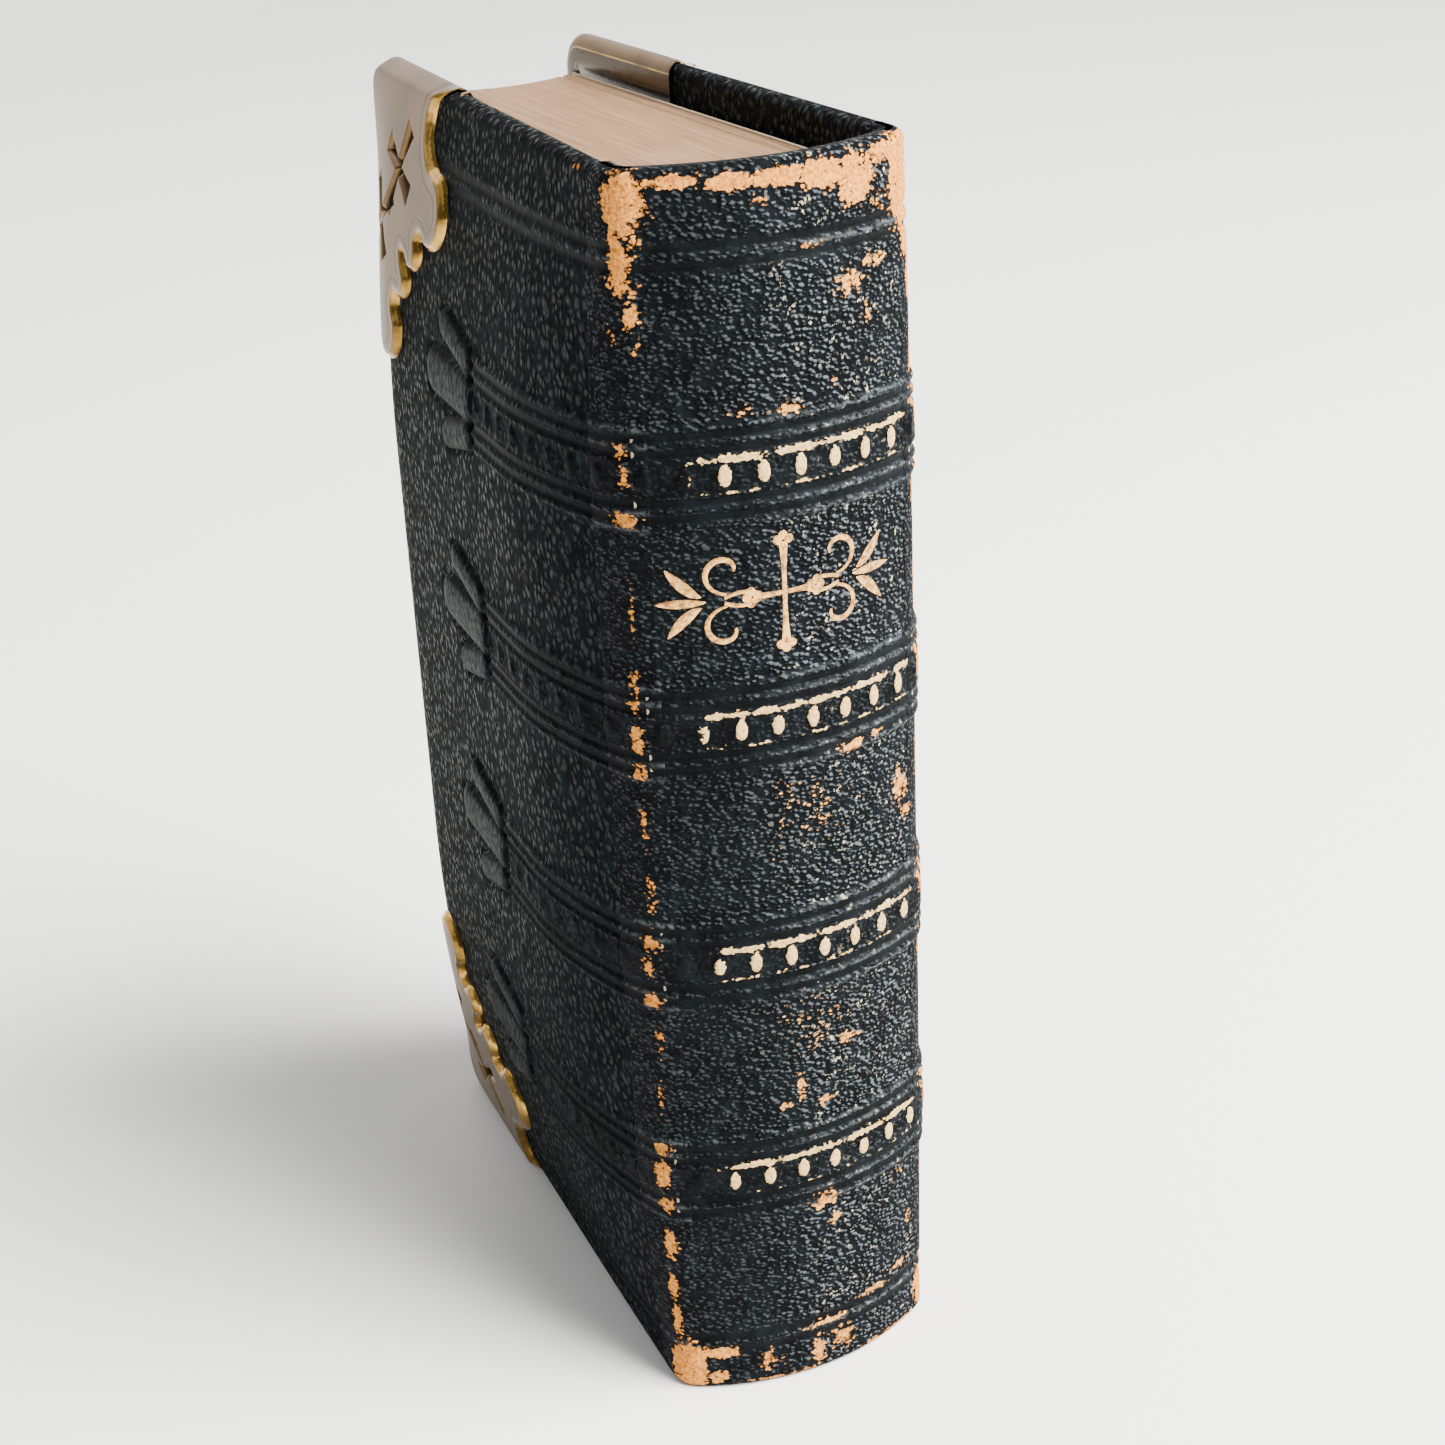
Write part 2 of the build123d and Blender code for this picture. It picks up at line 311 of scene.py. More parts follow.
def brass_material():
    """Dull champagne faces, bright gold where the plate is bevelled. Its points carry
    rim, the distance from the scalloped edge in millimetres, or -1 inside the cover,
    where the brass is painted near black as painted shade."""
    n = Nodes("aged_brass")
    rim = n.field("rim")
    cloud = n.noise(160.0, 5.0, 0.6)
    scratch = n.noise(2200.0, 2.0, 0.5, n.stretch((0.08, 0.3, 1.0), (0.5, 0.3, 0)))
    face = n.blend(n.between(cloud, 0.3, 0.75), (0.11, 0.065, 0.029), (0.185, 0.118, 0.06))
    gold = n.blend(n.between(cloud, 0.35, 0.65), (0.16, 0.09, 0.018), (0.52, 0.30, 0.07))
    colour = n.blend(n.between(rim, 0.4, 0.75), gold, face)
    # painted shade: near black where rim falls toward -1, on the lip inside the cover
    colour = n.blend(n.between(rim, -0.9, 0.0, 1.0, 0.0), colour, (0.045, 0.027, 0.009))
    # the engraved line 1.7 mm in from the edge, darker; the walls of the pierced crosses carry the same dark as
    # painted shade
    line = n.between(n.math("ABSOLUTE", n.math("SUBTRACT", rim, 1.7)), 0.09, 0.18, 1.0, 0.0)
    colour = n.blend(n.math("MULTIPLY", line, 0.75), colour, (0.075, 0.045, 0.02))
    speck = n.between(n.noise(1500.0, 4.0, 0.7), 0.64, 0.72)
    colour = n.blend(n.math("MULTIPLY", speck, 0.5), colour, (0.11, 0.07, 0.035))
    roughness = n.math("ADD", n.between(rim, 0.7, 1.3, 0.2, 0.36), n.math("MULTIPLY", cloud, 0.12))
    height = n.math("SUBTRACT", n.math("MULTIPLY", scratch, 0.12), line)
    normal = n.relief(n.math("ADD", height, n.math("MULTIPLY", cloud, 0.5)), 0.05)
    return n.finish(colour, roughness, normal, Metallic=1.0)


PAPER_TONES = ((0.52, 0.39, 0.25), (0.62, 0.485, 0.325))


def page_material():
    """Folded leaves: fine brown streaks on their edges, plain toned paper on their faces."""
    n = Nodes("page_edges")
    leaves = n.noise(1.0, 3.0, 0.6, n.stretch((9500.0, 90.0, 90.0)))
    gatherings = n.noise(1.0, 2.0, 0.5, n.stretch((1900.0, 26.0, 26.0)))
    stain = n.noise(55.0, 4.0, 0.6)
    colour = n.blend(n.between(leaves, 0.25, 0.78), (0.10, 0.048, 0.022), (0.27, 0.155, 0.078))
    colour = n.blend(n.between(gatherings, 0.62, 0.8, 0.0, 0.5), colour, (0.12, 0.06, 0.034))
    colour = n.blend(n.between(stain, 0.5, 0.8, 0.0, 0.3), colour, (0.36, 0.22, 0.15))
    facing = n.add("ShaderNodeSeparateXYZ")
    n.put(facing.inputs[0], n.add("ShaderNodeTexCoord").outputs["Normal"])
    is_face = n.between(n.math("ABSOLUTE", facing.outputs[0]), 0.8, 0.9)
    sheet = n.blend(n.between(n.noise(60.0, 5.0, 0.6), 0.3, 0.7), *PAPER_TONES)
    colour = n.blend(is_face, colour, sheet)
    streaks = n.math("ADD", leaves, n.math("MULTIPLY", gatherings, 0.6))
    normal = n.relief(n.math("MULTIPLY", streaks, n.math("SUBTRACT", 1.0, is_face)), 0.1)
    return n.finish(colour, 0.72, normal, Specular_IOR_Level=0.3)


def paper_material(name, dark, light, scale=420.0):
    """Plain papers and boards: mottled, with fibres."""
    n = Nodes(name)
    mottle = n.noise(scale, 5.0, 0.6)
    fibres = n.noise(1.0, 3.0, 0.6, n.stretch((3000.0, 700.0, 2400.0), (0.3, 0.4, 0.2)))
    colour = n.blend(n.between(mottle, 0.3, 0.7), dark, light)
    colour = n.blend(n.between(fibres, 0.6, 0.8, 0.0, 0.35), colour, light)
    return n.finish(colour, 0.8, n.relief(fibres, 0.03))


def woven_material(name, dark, light, pitch):
    """Threads over and under, for mull, endbands, wadding and thread."""
    n = Nodes(name)
    frequency = 1 / (pitch * MM)
    weave = None
    for direction in ("X", "Z"):
        wave = n.add("ShaderNodeTexWave", bands_direction=direction)
        n.put(wave.inputs["Vector"], n.place)
        wave.inputs["Scale"].default_value = frequency / 2
        wave.inputs["Distortion"].default_value = 0.6
        weave = wave.outputs["Fac"] if weave is None else n.math("MAXIMUM", weave, wave.outputs["Fac"])
    fuzz = n.noise(2600.0, 4.0, 0.7)
    colour = n.blend(n.math("MULTIPLY", weave, fuzz), dark, light)
    return n.finish(colour, 0.9, n.relief(weave, 0.08))


def gilt_material():
    n = Nodes("gilt_tooling")
    rub_and_painted_highlight = n.noise(1900.0, 5.0, 0.7)
    colour = n.blend(n.between(rub_and_painted_highlight, 0.36, 0.6), (0.25, 0.11, 0.03), (0.80, 0.42, 0.12))
    return n.finish(colour, n.between(rub_and_painted_highlight, 0.3, 0.7, 0.5, 0.24), n.relief(rub_and_painted_highlight, 0.05), Metallic=0.85)


def floor_material():
    n = Nodes("studio_floor")
    haze = n.noise(3.0, 2.0)
    colour = n.blend(haze, (0.80, 0.80, 0.79), (0.84, 0.84, 0.83))
    return n.finish(colour, 0.55, Specular_IOR_Level=0.25)


# The fourth argument is the grey of the painted highlights.
SPINE_LEATHER = morocco_material(
    "spine_morocco", 0.5, (0.9, 1.0, 1.35), (0.7, 0.0, 0.7), (0.07, 0.08, 0.086), 0.034
)
COVER_LEATHER = morocco_material(
    "cover_morocco", 0.75, (1.0, 1.0, 0.75), (0.0, -0.9, 0.3), (0.044, 0.052, 0.05), 0.025
)
BRASS = brass_material()
GILT = gilt_material()


# ---- relief and wear shared by the spine, the joints and the covers ----

FILLETS = [4.6, 6.2, HEIGHT - 8.0, HEIGHT - 6.4]  # blind lines near tail and head
GROOVES = [-3.55, -2.2, 2.2, 3.55]  # blind lines from a band's centre
GROOVE_HALF = 0.5
PITCH = 3.35  # one oval and one rosette of the roll
ROWS = spread(
    [(0.0, 1.2, 0.12), (1.2, 9.0, 0.26), (HEIGHT - 9.0, HEIGHT - 1.2, 0.26)]
    + [(HEIGHT - 1.2, HEIGHT, 0.12), (9.0, HEIGHT - 9.0, 0.5)]
    + [(c - 4.8, c + 4.8, 0.22) for c in BAND_CENTRES]
    + [(c + a, c + b, 0.34) for c in BAND_CENTRES for a, b in ((-9.2, -4.8), (4.8, 9.2))]
)


def clean_rows(rows, least=0.08):
    kept = [rows[0]]
    for z in rows[1:]:
        if z - kept[-1] >= least:
            kept.append(z)
    kept[-1] = rows[-1]
    return np.array(kept)


ROWS = clean_rows(ROWS)


def crests(z):
    """Where the tooled lines stand proud, and so get a painted highlight."""
    rub_and_painted_highlight = bump(z, FILLETS[0] + 0.8, 0.2) + bump(z, FILLETS[2] + 0.8, 0.2)
    for centre in BAND_CENTRES:
        for v in (-4.35, -2.9, 2.9, 4.35):
            rub_and_painted_highlight = rub_and_painted_highlight + bump(z - centre, v, 0.2)
    return np.clip(rub_and_painted_highlight, 0, 1)


def lines_relief(z, strength=1.0):
    """Blind lines and the low swell of the bands, for heights z. Returns the relief and
    how far the grain is pressed flat."""
    height = np.zeros_like(z)
    flat = np.zeros_like(z)
    for centre in FILLETS:
        mark = bump(z, centre, GROOVE_HALF, 4)
        height -= 0.2 * mark
        flat = np.maximum(flat, mark)
    for centre in BAND_CENTRES:
        v = z - centre
        height += 0.38 * strength * step(4.9 - np.abs(v), 0, 0.9)
        for groove in GROOVES:
            mark = bump(v, groove, GROOVE_HALF, 4)
            height -= 0.3 * strength * mark
            flat = np.maximum(flat, mark * strength)
    return height, flat


def roll_relief(across, z):
    """The roll between a band's lines: upright ovals and eight-petalled rosettes in turn.
    Returns relief, flattening, and the ovals' own mask."""
    height = np.zeros_like(z)
    flat = np.zeros_like(z)
    ovals = np.zeros_like(z)
    for number, centre in enumerate(BAND_CENTRES):
        v = z - centre
        inside = step(1.62 - np.abs(v), 0, 0.25)
        phase = (across / PITCH + 0.13 * number) % 1.0
        from_oval = (phase - 0.5) * PITCH
        from_rosette = ((phase + 0.5) % 1.0 - 0.5) * PITCH
        oval = step(1 - np.hypot(from_oval / 0.66, v / 1.12), 0, 0.3)
        reach = np.hypot(from_rosette, v)
        angle = np.arctan2(v, from_rosette)
        petals = 0.95 + 0.3 * np.cos(8 * angle)
        rosette = step(petals - reach, 0, 0.35) * step(reach, 0.12, 0.3)
        height += inside * (-0.14 + 0.28 * oval - 0.12 * rosette)
        flat = np.maximum(flat, inside * np.maximum(oval, 0.75))
        ovals = np.maximum(ovals, oval * inside)
    return height, flat, ovals


def patches(across, z, spots):
    """The strongest of several soft-edged spots: (across, z, half width, half height,
    strength)."""
    field = np.zeros(np.broadcast(across, z).shape)
    for x, y, wide, tall, strength in spots:
        reach = ((across - x) / wide) ** 2 + ((z - y) / tall) ** 2
        field = np.maximum(field, strength * np.exp(-reach))
    return field


# ---- outer surface of the spine, the joints and the padded covers ----


def spine_point(arc, z, out):
    """arc is the distance from the middle of the spine, positive toward the front."""
    angle = arc / SPINE_R
    radius = SPINE_R + out
    x = radius * np.sin(angle)
    y = SPINE_Y - radius * np.cos(angle)
    return np.stack(np.broadcast_arrays(x, y, z), -1)


def cover_point(side, u, z, w):
    """u runs from the joint to the fore-edge, w outward from the cover's edge level."""
    sine, cosine = math.sin(LEAN[side]), math.cos(LEAN[side])
    x = side * (JOINT_X - u * sine + w * cosine)
    y = JOINT_Y + u * cosine + w * sine
    return np.stack(np.broadcast_arrays(x, y, z), -1)


def pad(u, z):
    swell = rise(u / SLOPES["joint"]) * rise((COVER_WIDTH - u) / SLOPES["fore"])
    ends = rise(z / SLOPES["end"]) * rise((HEIGHT - z) / SLOPES["end"])
    return PAD_RISE * swell * ends


def edge_distance(u, z, grow=0.0):
    """Distance in from the cover's outline, which is rounded at the fore-edge."""
    radius = CORNER_R + grow
    across = COVER_WIDTH + grow - u
    along = np.minimum(z + grow, HEIGHT + grow - z)
    corner = radius - np.hypot(radius - across, radius - along)
    in_corner = (across < radius) & (along < radius)
    return np.where(in_corner, corner, np.minimum(across, along))


def roundover(distance, radius):
    d = np.clip(distance, 0, radius)
    return np.sqrt(np.maximum(radius**2 - (radius - d) ** 2, 0)) - radius


def fore_limit(z, grow=0.0):
    """Where the rounded outline ends, measured from the joint, at each height."""
    radius = CORNER_R + grow
    along = np.clip(np.minimum(z + grow, HEIGHT + grow - z), 0, radius)
    cut = radius - np.sqrt(radius**2 - (radius - along) ** 2)
    return COVER_WIDTH + grow - cut


# ---- spine ----

ARC_END = SPINE_R * HALF_ARC
CAP_R = 0.9
CAP_IN = 2.3


def end_profile(z_rows):
    """(height, inset) down one side of the leather and over both caps."""
    turns = np.radians(np.linspace(0, 90, 7))
    cap = [(CAP_R * (1 - math.sin(t)), CAP_R * (1 - math.cos(t))) for t in turns[::-1]]
    tail = [(1.4, CAP_IN), (0.5, CAP_IN), (0.05, CAP_IN - 0.35), (0.0, CAP_IN - 0.8)]
    tail += [(z, inset) for z, inset in cap]
    middle = [(z, 0.0) for z in z_rows if CAP_R < z < HEIGHT - CAP_R]
    head = [(HEIGHT - z, inset) for z, inset in tail[::-1]]
    return np.array(tail + middle + head)


PROFILE = end_profile(ROWS)

SPINE_WEAR = [
    # head: all along the crown of the cap, then its two corners
    (-13.6, 117.4, 2.0, 3.0, 1.3), (-14.2, 112.6, 1.5, 2.2, 1.0), (-12.6, 114.6, 1.2, 1.8, 0.62),
    (-9.6, 118.9, 3.2, 0.7, 0.95), (-5.0, 118.6, 2.6, 0.9, 1.05), (-0.5, 118.6, 3.0, 0.9, 1.15),
    (3.5, 118.2, 2.6, 1.4, 1.2), (6.9, 117.2, 2.4, 2.4, 1.15), (10.2, 118.8, 2.6, 0.9, 1.2),
    (13.3, 116.6, 2.2, 4.6, 1.5), (9.6, 114.9, 1.7, 1.3, 0.66), (-2.5, 116.9, 1.3, 0.8, 0.6),
    (14.0, 110.8, 1.6, 1.5, 1.0), (14.6, 107.6, 1.0, 3.0, 1.0),
    # below the head lines
    (6.2, 108.9, 2.4, 1.6, 0.74), (8.8, 110.2, 2.4, 0.9, 0.7), (7.8, 105.9, 0.9, 1.8, 0.64),
    (2.5, 112.6, 2.0, 0.5, 0.6), (-13.9, 110.4, 1.7, 0.9, 0.85), (-13.3, 108.2, 1.3, 1.5, 0.74),
    (-13.0, 105.6, 0.7, 1.8, 0.64),
    # between the bands
    (-4.5, 99.6, 1.6, 0.6, 0.66), (-0.5, 99.3, 2.2, 0.7, 0.7), (4.2, 100.8, 0.8, 0.6, 0.7),
    (9.0, 101.6, 2.0, 0.4, 0.5), (11.4, 60.6, 1.6, 3.2, 0.72), (12.4, 57.6, 1.0, 1.4, 0.7),
    (5.0, 67.0, 2.2, 0.8, 0.72), (8.0, 67.3, 1.5, 0.5, 0.6), (0.0, 62.0, 7.0, 6.0, 0.4),
    (3.5, 37.2, 1.5, 0.8, 0.74), (5.2, 37.0, 0.8, 0.6, 0.72), (0.0, 40.0, 8.0, 5.0, 0.4),
    (-1.5, 33.5, 0.6, 2.0, 0.84), (1.0, 31.2, 1.7, 0.8, 0.66), (-3.0, 31.8, 1.1, 0.9, 0.62),
    (0.5, 20.0, 2.1, 1.5, 0.78), (1.6, 17.6, 1.3, 0.9, 0.7), (11.5, 13.0, 0.9, 1.8, 0.6),
    (10.0, 19.0, 2.5, 1.4, 0.45),
    # tail
    (-13.8, 2.6, 1.9, 3.0, 1.4), (-10.6, 4.2, 2.8, 0.8, 0.9), (-11.0, 1.4, 1.5, 0.9, 0.95),
    (-6.0, 2.8, 1.8, 1.6, 0.68), (-0.6, 2.4, 1.1, 2.1, 0.82), (2.2, 3.0, 1.9, 1.7, 0.78),
    (0.4, 5.6, 3.8, 0.5, 0.72), (6.5, 6.8, 2.8, 0.8, 0.72), (10.0, 7.8, 2.4, 0.6, 0.72),
    (13.9, 3.0, 1.6, 2.8, 1.0), (9.0, 0.5, 4.8, 0.6, 0.9), (-4.0, 0.5, 6.0, 0.5, 0.7),
]


RIDGE_WEAR = {
    # (along the strip from the ridge, z, half width, half height, strength)
    -1: [
        (0.0, 117.5, 1.3, 2.2, 1.05), (-0.2, 114.4, 0.9, 1.8, 0.9), (0.0, 111.0, 1.5, 0.8, 0.75),
        (0.4, 106.8, 0.8, 1.5, 0.6), (0.2, 97.0, 1.0, 1.0, 0.72), (-0.2, 94.6, 0.7, 1.6, 0.7),
        (0.0, 90.8, 1.6, 0.9, 0.92), (0.0, 82.0, 0.5, 5.0, 0.5), (0.0, 76.0, 0.8, 1.8, 0.66),
        (0.2, 73.6, 0.9, 1.2, 0.7), (0.0, 70.6, 0.9, 2.2, 0.8), (0.1, 67.4, 1.1, 1.2, 0.82),
        (0.0, 62.0, 0.6, 4.0, 0.6), (-0.2, 55.0, 0.8, 4.0, 0.58), (0.0, 50.2, 1.3, 1.1, 0.85),
        (0.2, 48.0, 1.0, 1.4, 0.72), (0.2, 44.2, 1.3, 1.0, 0.85), (-0.2, 40.0, 0.8, 2.4, 0.6),
        (0.0, 34.0, 0.7, 4.0, 0.55), (0.3, 28.0, 1.3, 1.0, 0.82), (0.3, 25.2, 1.1, 2.0, 0.95),
        (0.2, 21.6, 1.1, 1.1, 0.8), (0.2, 17.0, 1.2, 2.2, 0.8), (0.3, 12.0, 0.9, 2.0, 0.85),
        (0.0, 8.0, 0.9, 3.0, 0.8), (0.2, 2.6, 1.5, 3.0, 1.15),
    ],
    1: [
        (-0.2, 117.0, 2.2, 4.2, 1.3), (0.0, 111.5, 1.2, 1.6, 0.95), (0.0, 107.0, 1.0, 3.0, 0.9),
        (0.0, 101.0, 0.7, 4.0, 0.75), (0.2, 96.0, 1.0, 3.0, 0.85), (0.2, 89.0, 0.8, 4.0, 0.75),
        (0.2, 80.0, 0.7, 5.0, 0.65), (0.0, 72.0, 1.0, 3.0, 0.8), (0.3, 62.0, 0.8, 4.0, 0.6),
        (0.0, 50.0, 1.0, 3.5, 0.78), (0.0, 42.0, 0.7, 4.0, 0.65), (0.0, 27.0, 0.9, 3.0, 0.75),
        (0.0, 16.0, 0.6, 4.0, 0.6), (0.0, 4.0, 1.3, 3.4, 0.95),
    ],
}


def wear_at(arc, z):
    """Wear and paleness for a distance round the spine, carried on past its ridges."""
    wear = patches(arc, z, SPINE_WEAR)
    for side, spots in RIDGE_WEAR.items():
        wear = np.maximum(wear, patches(side * arc - ARC_END, z, spots))
    pale = 0.35 - 0.9 * step(z, HEIGHT - 9, HEIGHT - 5) - 0.8 * step(5.0 - z, 0, 3)
    pale = pale + 0.5 * bump(arc, 5.0, 3.0) * step(z, HEIGHT - 9, HEIGHT - 5)
    near_ridge = step(np.abs(arc), ARC_END - 3.5, ARC_END - 1.5)
    wear = np.minimum(wear, 0.63 + 0.12 * wear)  # islands of sound leather stay in it
    return wear, pale * (1 - near_ridge) - 0.1 * near_ridge


def spine_fields(arc, z, inset):
    lines, flat = lines_relief(z)
    roll, roll_flat, ovals = roll_relief(arc, z)
    sound = 1 - np.clip(inset / 0.5, 0, 1)
    height = (lines + roll) * sound
    grain = 1 - np.maximum(flat, roll_flat) * sound
    grain = grain * (1 - 0.6 * step(inset, 0.5, 1.4))
    wear, pale = wear_at(arc, z)
    for centre in BAND_CENTRES:
        v = z - centre
        span = step(arc, -11.5, -7.5) * step(14.2 - arc, 0, 1.5)
        broken = 0.82 + 0.3 * np.sin(arc * 1.9 + centre) * np.sin(arc * 0.7 + 2 * centre)
        top_line = bump(v, 1.45, 0.42, 2) * span * broken
        foot_line = bump(v, -1.5, 0.22, 2) * span * 0.66 * broken
        wear = np.maximum(wear, np.maximum(top_line, foot_line))
        wear = np.maximum(wear, ovals * span * (np.abs(v) < 2) * 0.95)
        pale = np.where((np.abs(v) < 2.2) & (np.abs(arc) < ARC_END - 1), 0.7, pale)
    wear = wear * (1 - step(inset, 0.8, 1.1))
    # painted highlight along the tooled crests, growing toward the front side of the spine, where the light falls
    rub_and_painted_highlight = crests(z) * step(arc, -6.0, 6.0) * sound
    # painted highlights on the pebbles' shoulders and the pale worn specks: weak on the rear third of the spine,
    # which lies in shade
    glint_and_speck_share = 0.3 + 0.7 * step(arc, -9.0, 3.0)
    return height, {"grain": grain, "wear": wear, "pale": pale, "rub_and_painted_highlight": rub_and_painted_highlight, "glint_and_speck_share": glint_and_speck_share}


def make_spine():
    columns = np.linspace(-ARC_END + STRIP_SPINE, ARC_END - STRIP_SPINE, 157)
    arc, z = np.meshgrid(columns, PROFILE[:, 0])
    inset = np.repeat(PROFILE[:, 1:], len(columns), axis=1)
    height, fields = spine_fields(arc, z, inset)
    worn_down = 0.06 * step(fields["wear"], 0.5, 0.9)
    points = spine_point(arc, z, height - inset - worn_down)
    faces = grid_faces(*arc.shape)
    skin = make_piece("spine_skin", points, faces, SPINE_LEATHER, fields, (0, -1, 0))
    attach(skin, "text_block")
    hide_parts("spine_leather")


# ---- covers ----

STRAP_END = 28.2
LEAF_TIP = 41.6


def finger(u, v, start, end, wide):
    """A rounded ridge: 1 on the line from start to end, 0 at its edge, negative outside."""
    axis = np.subtract(end, start)
    along = ((u - start[0]) * axis[0] + (v - start[1]) * axis[1]) / (axis @ axis)
    along = np.clip(along, 0, 1)
    off = np.hypot(u - start[0] - along * axis[0], v - start[1] - along * axis[1])
    return 1 - off / wide


def fleuron(u, v):
    """The three-lobed leaf that ends each strap, and the crease round it; v is the
    height from the strap's middle."""
    end = STRAP_END
    middle = finger(u, v, (end + 1.2, 0.0), (LEAF_TIP - 2.3, 0.2), 2.3)
    upper = finger(u, v, (end + 1.2, 3.6), (end + 7.8, 5.4), 1.5)
    lower = finger(u, v, (end + 1.2, -3.6), (end + 7.2, -5.0), 1.5)
    inside = np.maximum.reduce([middle, upper, lower])
    mound = np.sqrt(np.clip(1 - (1 - np.clip(inside, 0, 1)) ** 2, 0, 1))
    return mound, bump(inside, -0.12, 0.16)


COVER_WEAR = [
    (6.0, 119.4, 2.5, 0.5, 0.5), (30.0, 119.6, 20.0, 0.3, 0.38), (20.0, 0.3, 22.0, 0.4, 0.5),
    (63.8, 60.0, 0.6, 26.0, 0.5), (40.0, 62.0, 1.0, 0.8, 0.3),
]


def cover_fields(u, z):
    """Tooling, grain, wear and painted highlight of a cover, u from the joint."""
    lines, flat = lines_relief(z)
    fillet_ends = step(COVER_WIDTH - 5 - u, 0, 1.0)
    near_end = (z < 9) | (z > HEIGHT - 9)
    roll, roll_flat, _ = roll_relief(u + 1.0, z)
    on_strap = np.where(near_end, fillet_ends, step(STRAP_END - u, 0, 0.35))
    height = lines * on_strap
    flat = flat * on_strap
    roll_span = step(STRAP_END - 0.8 - u, 0, 0.3)
    height = height + 0.75 * roll * roll_span
    flat = np.maximum(flat, 0.6 * roll_flat * roll_span)
    polish = np.zeros_like(height)
    for centre in BAND_CENTRES:
        v = z - centre
        near = np.abs(v) < 10
        mound, crease = fleuron(u, v)
        height = height + near * (0.5 * mound - 0.3 * crease)
        moat = step(mound, 0.0, 0.06)
        flat = np.maximum(flat, 0.85 * near * moat)
        # the fleurons' smooth tops get a painted highlight
        polish = np.maximum(polish, 0.6 * near * step(mound, 0.5, 0.85))
        bar = bump(u, STRAP_END - 0.3, 0.28, 4) * (np.abs(v) < 4.0)
        height = height - 0.25 * bar
        flat = np.maximum(flat, bar)
    wear = patches(u, z, COVER_WEAR)
    # painted highlight along the straps' tooled crests and on the fleurons' tops
    rub_and_painted_highlight = 0.45 * crests(z) * on_strap * step(u, 2.0, 8.0)
    rub_and_painted_highlight = np.maximum(rub_and_painted_highlight, polish)
    return height, 1 - flat, wear, rub_and_painted_highlight


def cover_columns():
    return spread(
        [(STRIP_COVER, 26.0, 0.3), (26.0, 45.0, 0.24), (45.0, COVER_WIDTH - 1.2, 0.6)]
        + [(COVER_WIDTH - 1.2, COVER_WIDTH, 0.15)]
    )


def make_cover(side, name):
    share = (cover_columns() - STRIP_COVER) / (COVER_WIDTH - STRIP_COVER)
    limit = fore_limit(ROWS)
    u = STRIP_COVER + (limit[:, None] - STRIP_COVER) * share[None, :]
    z = np.repeat(ROWS[:, None], len(share), axis=1)
    height, grain, wear, rub_and_painted_highlight = cover_fields(u, z)
    wear = np.maximum(wear, wear_at(side * (ARC_END + u), z)[0])
    edge = edge_distance(u, z)
    half = EDGE / 2
    fade = step(edge, 0.2, 1.2)
    w = pad(u, z) + roundover(edge, half) + height * fade
    points = cover_point(side, u, z, w)
    # the fifth field: painted highlights on the pebbles' shoulders and the pale worn specks grow toward the
    # fore-edge
    fields = [grain, wear, np.full(u.shape, -0.1), rub_and_painted_highlight, 0.5 + 0.25 * step(u, 5, 50)]
    faces = [grid_faces(*u.shape)]
    points = [points.reshape(-1, 3)]
    values = [[f.ravel() for f in fields]]

    # the same leather turned over the three free edges on to the inside of the board
    count = len(ROWS)
    index = np.arange(u.size).reshape(u.shape)
    loop = np.concatenate([index[0, :-1], index[:, -1], index[-1, -2::-1]])
    loop_u, loop_z = u.ravel()[loop], z.ravel()[loop]
    inward = inward_normal(loop_u, loop_z)
    first = u.size
    previous = loop
    for depth in (0.1, 0.25, 0.45, 0.7, half, 3.0, 6.0, 10.5):
        ring_w = -half - (half + roundover(np.full(len(loop), depth), half))
        ring_u = loop_u + inward[:, 0] * depth
        ring_z = loop_z + inward[:, 1] * depth
        points.append(cover_point(side, ring_u, ring_z, ring_w))
        ones = np.ones(len(loop))
        values.append([0.8 * ones, 0 * ones, -0.1 * ones, 0 * ones, 0.7 * ones])
        ring = first + np.arange(len(loop))
        faces.append(np.stack([previous[:-1], previous[1:], ring[1:], ring[:-1]], -1)[:, ::-1])
        previous = ring
        first += len(loop)
    stacked = [np.concatenate(v) for v in zip(*values)]
    fields = dict(zip(("grain", "wear", "pale", "rub_and_painted_highlight", "glint_and_speck_share"), stacked))
    skin = make_piece(f"{name}_skin", np.concatenate(points), np.concatenate(faces), COVER_LEATHER, fields)
    settle_normals(skin)
    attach(skin, f"{name}_cover")
    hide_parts(f"{name}_leather", f"{name}_padding")


def inward_normal(u, z):
    """Unit direction from a cover's outline toward its middle, as (u, z)."""
    small = 0.01
    du = edge_distance(u - small, z) - edge_distance(u + small, z)
    dz = edge_distance(u, z + small) - edge_distance(u, z - small)
    straight_end = (u < COVER_WIDTH - CORNER_R)
    du = np.where(straight_end, 0.0, -du)
    middle = (z > CORNER_R) & (z < HEIGHT - CORNER_R)
    dz = np.where(middle, 0.0, dz)
    tail = z < HEIGHT / 2
    dz = np.where(straight_end, np.where(tail, 1.0, -1.0), dz)
    length = np.hypot(du, dz)
    return np.stack([du / length, dz / length], -1)


def settle_normals(piece):
    """Turns every face of a closed or nearly closed piece to look out of it."""
    import bmesh
    shape = bmesh.new()
    shape.from_mesh(piece.data)
    bmesh.ops.recalc_face_normals(shape, faces=shape.faces)
    shape.to_mesh(piece.data)
    shape.free()


# ---- joints: the leather that bends between the spine and a cover ----

